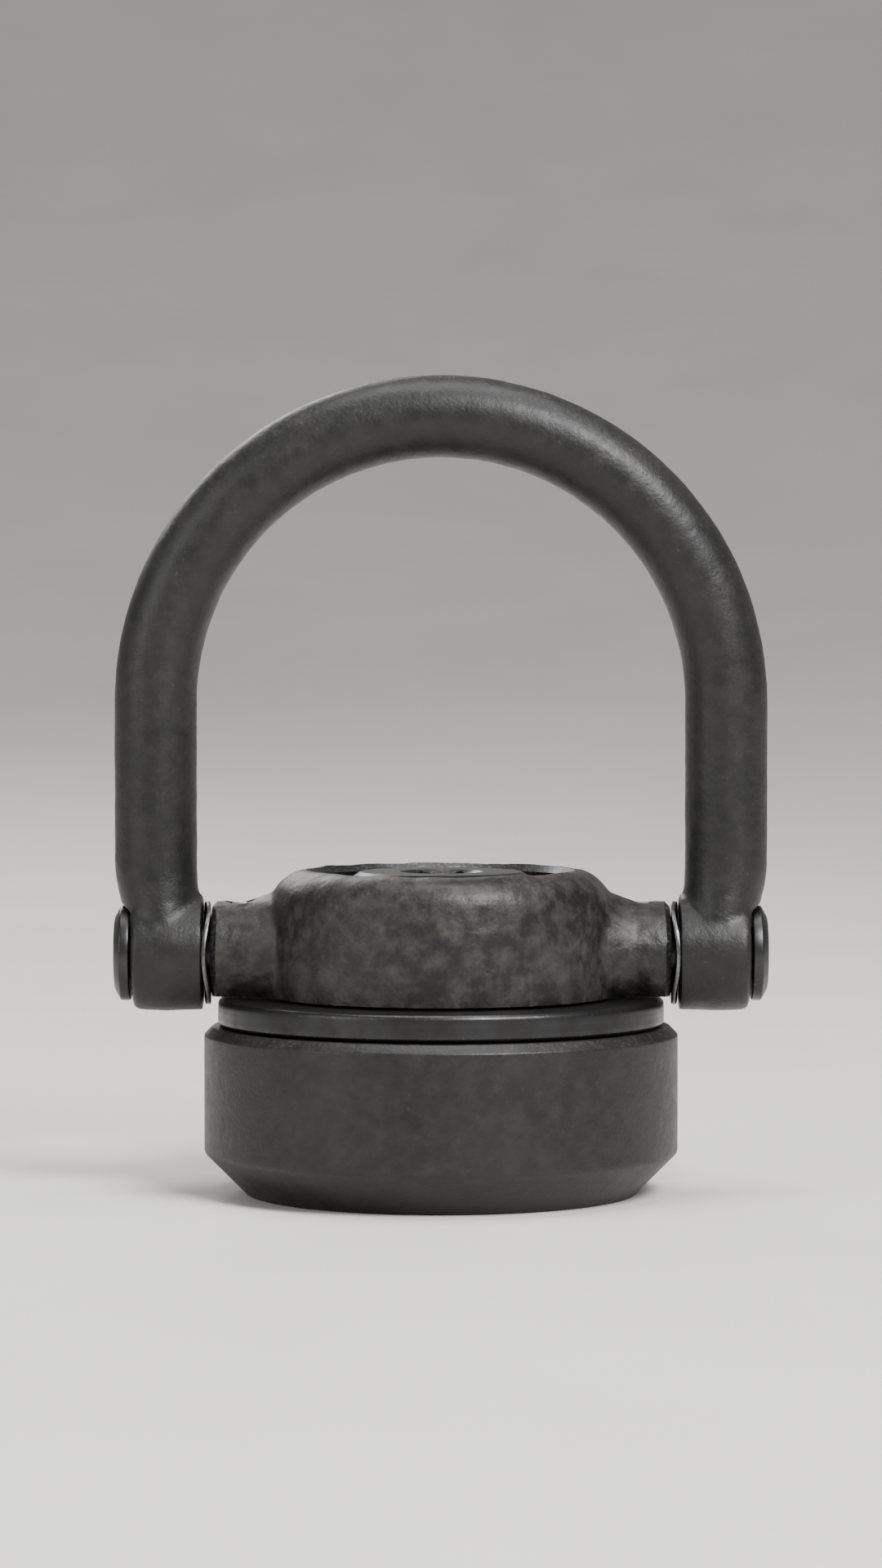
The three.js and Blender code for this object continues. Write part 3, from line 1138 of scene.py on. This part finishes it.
def make_stage():
    """A pale floor that sweeps up into a round wall well behind any camera."""
    flat, bend, rise = 450, 1400, math.radians(50)
    below = -0.02  # so that the ring's flat foot doesn't lie in the floor's own plane
    steps = 24
    sweep = [Vector((0, below)), Vector((flat, below))]
    for i in range(1, steps + 1):
        angle = rise * i / steps
        sweep.append(Vector((flat + bend * math.sin(angle), bend - bend * math.cos(angle))))
    floor = turned("floor", sweep)
    mesh = floor.data
    mesh.polygons.foreach_set("use_smooth", [True] * len(mesh.polygons))
    pale, paler = (0.62, 0.61, 0.59), (0.66, 0.65, 0.63)
    s = Surface("pale floor", 0.0, 0.75, pale)
    soft = s.grain(40.0, 3.0)
    s.feed("Base Color", s.blend(s.spread(soft, 0.3, 0.7), pale, paler))
    mesh.materials.append(s.material)


def area_light(name, place, size, power):
    """A rectangular lamp aimed at the ring: place and size in metres, power in watts."""
    data = bpy.data.lights.new(name, "AREA")
    data.shape = "RECTANGLE"
    data.size, data.size_y = size
    data.energy = power
    lamp = bpy.data.objects.new(name, data)
    bpy.context.scene.collection.objects.link(lamp)
    lamp.location = place
    lamp.rotation_euler = (LIGHT_AIM - Vector(place)).to_track_quat("-Z", "Y").to_euler()


def make_lights():
    """Plain soft studio light: four large lamps and a pale sky."""
    area_light("key", place=(0.24, -0.36, 0.42), size=(0.22, 0.22), power=6.4)
    area_light("fill", place=(-0.42, -0.3, 0.22), size=(0.3, 0.3), power=1.1)
    area_light("top", place=(0.0, 0.02, 0.55), size=(0.4, 0.25), power=2.2)
    area_light("rim", place=(-0.2, 0.5, 0.3), size=(0.3, 0.2), power=1.2)
    world = bpy.data.worlds.new("studio")
    bpy.context.scene.world = world
    world.use_nodes = True
    background = world.node_tree.nodes["Background"]
    background.inputs["Color"].default_value = (0.9, 0.9, 0.89, 1)
    background.inputs["Strength"].default_value = 0.42


def make_camera():
    """Square to the ring and a little above level, on a long lens."""
    low, high = cad_box
    centre = (low + high) / 2
    data = bpy.data.cameras.new("camera")
    data.sensor_width = 36
    data.lens = 112
    data.clip_start = 0.01
    camera = bpy.data.objects.new("camera", data)
    bpy.context.scene.collection.objects.link(camera)
    back = Vector((0, -math.cos(CAMERA_ELEVATION), math.sin(CAMERA_ELEVATION)))
    camera.location = centre + back * CAMERA_DISTANCE
    camera.rotation_euler = (-back).to_track_quat("-Z", "Y").to_euler()
    bpy.context.scene.camera = camera


def make_hoist_ring():
    """Every piece in its own finish, from the base up."""
    forged = black_coat("forged black coat", mottle=0.75)
    drawn = black_coat("drawn bar black coat", mottle=0.15)
    base_coat = black_coat("base black coat", mottle=0.22)
    oxide = turned_steel(
        "black oxide steel", "Z", light=(0.05, 0.05, 0.052), dark=(0.036, 0.035, 0.034), roughness=0.36
    )
    pin_oxide = turned_steel(
        "black oxide pins", "X", light=(0.055, 0.055, 0.057), dark=(0.04, 0.038, 0.037), roughness=0.34
    )
    faced_light, faced_dark = (0.05, 0.05, 0.052), (0.035, 0.034, 0.033)
    faced = turned_steel("faced steel", "Z", faced_light, faced_dark, roughness=0.42)
    eye_faced = turned_steel("faced eyes", "X", faced_light, faced_dark, roughness=0.42)
    polished = polished_steel("bearing steel")
    spring = turned_steel(
        "spring steel", "X", light=(0.33, 0.33, 0.34), dark=(0.2, 0.19, 0.17), roughness=0.3
    )
    # Painted shade: the friction rings get a darker copy of the roll pins' spring steel, so that in the
    # narrow gap between arm and eye their edges don't show as bright lines.
    painted_shade_spring = turned_steel(
        "spring steel darkened as painted shade", "X", light=(0.15, 0.15, 0.155), dark=(0.08, 0.076, 0.07), roughness=0.34
    )
    bronze = bearing_bronze("bearing bronze")

    make_weld_base(base_coat)
    make_flanged_bushing(oxide)
    make_mounting_bolt(oxide)
    make_cover_washer(oxide)
    make_race("upper_race", UPPER_RACE_BORE_R, polished, groove_up=False)
    make_cage(bronze)
    make_balls(polished)
    make_body(forged, faced)
    make_race("lower_race", LOWER_RACE_BORE_R, polished, groove_up=True)
    make_swivel_bush(bronze)
    make_grease_seal(seal_rubber("nitrile rubber"))
    for word, side in (("right", 1), ("left", -1)):
        make_pivot_pin("pivot_pin_" + word, side, pin_oxide)
        make_roll_pin("roll_pin_" + word, side, spring)
        make_friction_ring("friction_ring_" + word, side, painted_shade_spring)
    make_bail(drawn, eye_faced)


make_camera()
make_stage()
make_lights()
make_hoist_ring()
